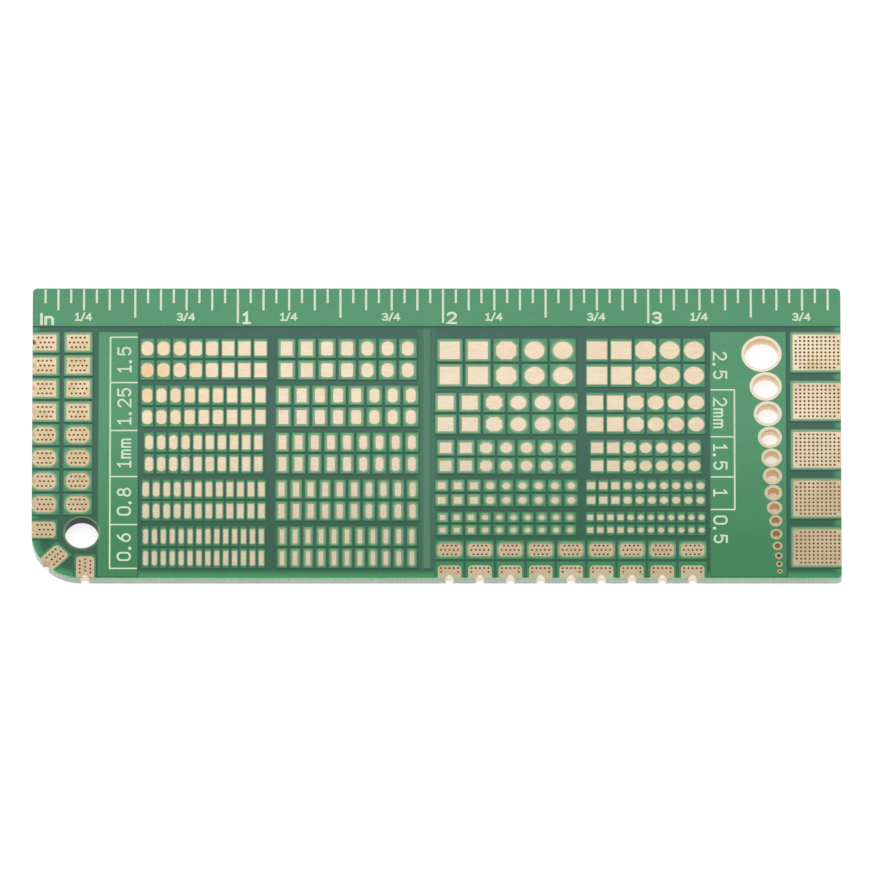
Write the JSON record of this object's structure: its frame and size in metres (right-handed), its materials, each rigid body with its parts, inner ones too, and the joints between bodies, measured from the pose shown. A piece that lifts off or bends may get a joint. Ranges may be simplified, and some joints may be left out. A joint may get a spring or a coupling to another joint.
{
  "type": "soldering practice board",
  "caption": "Flat green circuit-board card with an inch ruler along one edge, rows of bare gold practice pads, perforated edge pads, plated holes and a lanyard hole in its round corner.",
  "frame": {"origin": "middle of the flat back face, on the plane the board rests on", "axes": "+X along the board to the end with the grid pads, +Y to the ruler edge, +Z out of the pad face"},
  "size_m": [0.1, 0.04, 0.0016],
  "materials": {
    "laminate": "routed epoxy glass laminate",
    "green_coat": "glossy green solder resist",
    "copper": "copper under the coat",
    "gold_pads": "pale immersion gold",
    "plating": "pale immersion gold",
    "print": "cream legend ink"
  },
  "bodies": {
    "root": {"laminate": "laminate", "front_coat": "green_coat", "back_coat": "green_coat", "ruler_field": "copper", "left_panel_field": "copper", "right_panel_field": "copper", "ridge_field": "copper", "oblong_pads_1_5_close": "gold_pads", "oblong_pads_1_25_close": "gold_pads", "oblong_pads_1_close": "gold_pads", "oblong_pads_0_8_close": "gold_pads", "oblong_pads_0_6_close": "gold_pads", "oblong_pads_1_5_loose": "gold_pads", "oblong_pads_1_25_loose": "gold_pads", "oblong_pads_1_loose": "gold_pads", "oblong_pads_0_8_loose": "gold_pads", "oblong_pads_0_6_loose": "gold_pads", "square_pads_2_5_loose": "gold_pads", "square_pads_2_loose": "gold_pads", "square_pads_1_5_loose": "gold_pads", "square_pads_1_loose": "gold_pads", "square_pads_0_5_loose": "gold_pads", "square_pads_2_5_close": "gold_pads", "square_pads_2_close": "gold_pads", "square_pads_1_5_close": "gold_pads", "square_pads_1_close": "gold_pads", "square_pads_0_5_close": "gold_pads", "left_edge_pads": "gold_pads", "left_inner_pads": "gold_pads", "corner_pads": "gold_pads", "front_edge_pads": "gold_pads", "front_inner_pads": "gold_pads", "grid_pads": "gold_pads", "plated_hole_1": "plating", "plated_hole_2": "plating", "plated_hole_3": "plating", "plated_hole_4": "plating", "plated_hole_5": "plating", "plated_hole_6": "plating", "plated_hole_7": "plating", "plated_hole_8": "plating", "plated_hole_9": "plating", "plated_hole_10": "plating", "plated_hole_11": "plating", "plated_hole_12": "plating", "plated_hole_13": "plating", "plated_hole_14": "plating", "ruler_ticks": "print", "ruler_figures": "print", "left_label_print": "print", "right_label_print": "print"}
  },
  "joints": []
}
